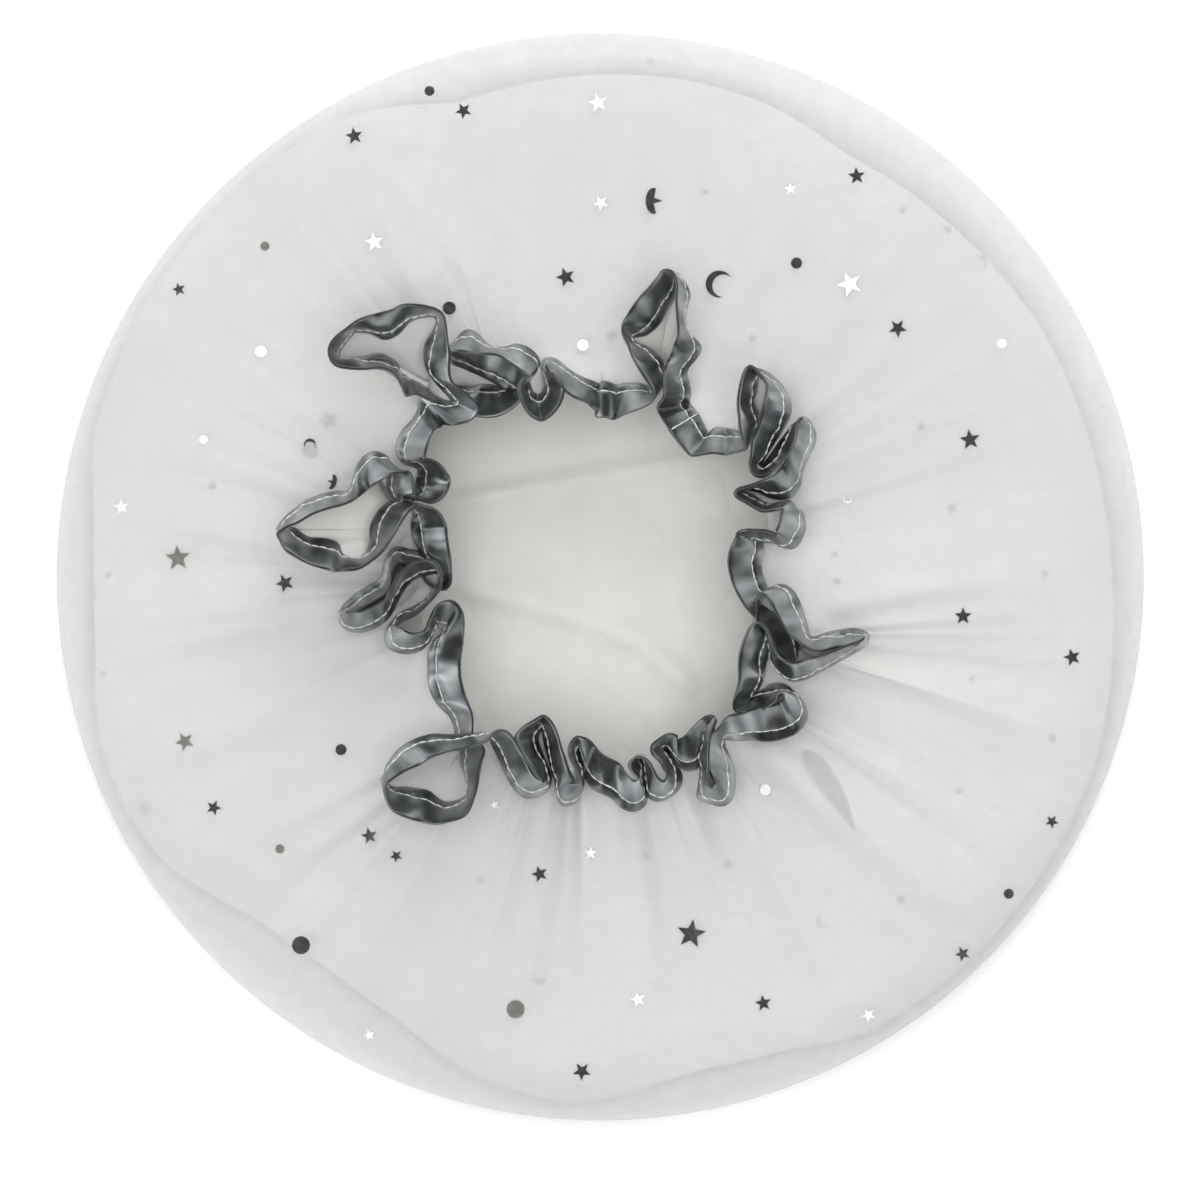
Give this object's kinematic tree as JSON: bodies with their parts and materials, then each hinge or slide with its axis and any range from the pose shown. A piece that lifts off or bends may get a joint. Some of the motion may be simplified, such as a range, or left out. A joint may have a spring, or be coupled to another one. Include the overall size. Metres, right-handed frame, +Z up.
{
  "type": "shower cap",
  "caption": "Double-layer shower cap lying on its crown, mouth up: a sheer foil-printed bag over a waterproof film liner, gathered into a ruffled satin elastic binding.",
  "frame": {"origin": "on the floor under the middle of the round cap", "axes": "+Z up out of the mouth, +Y to the side with the tall single loop of the binding, +X to the right of it"},
  "size_m": [0.29, 0.29, 0.0362],
  "materials": {
    "sheer_fabric": "sheer white organza with scattered silver foil stars, moons and dots",
    "film_liner": "frosted translucent waterproof film, softly creased",
    "grey_satin": "grey satin bias tape folded over a hidden elastic and stitched"
  },
  "bodies": {
    "root": {"cover": "sheer_fabric", "liner": "film_liner", "binding": "grey_satin"}
  },
  "joints": []
}
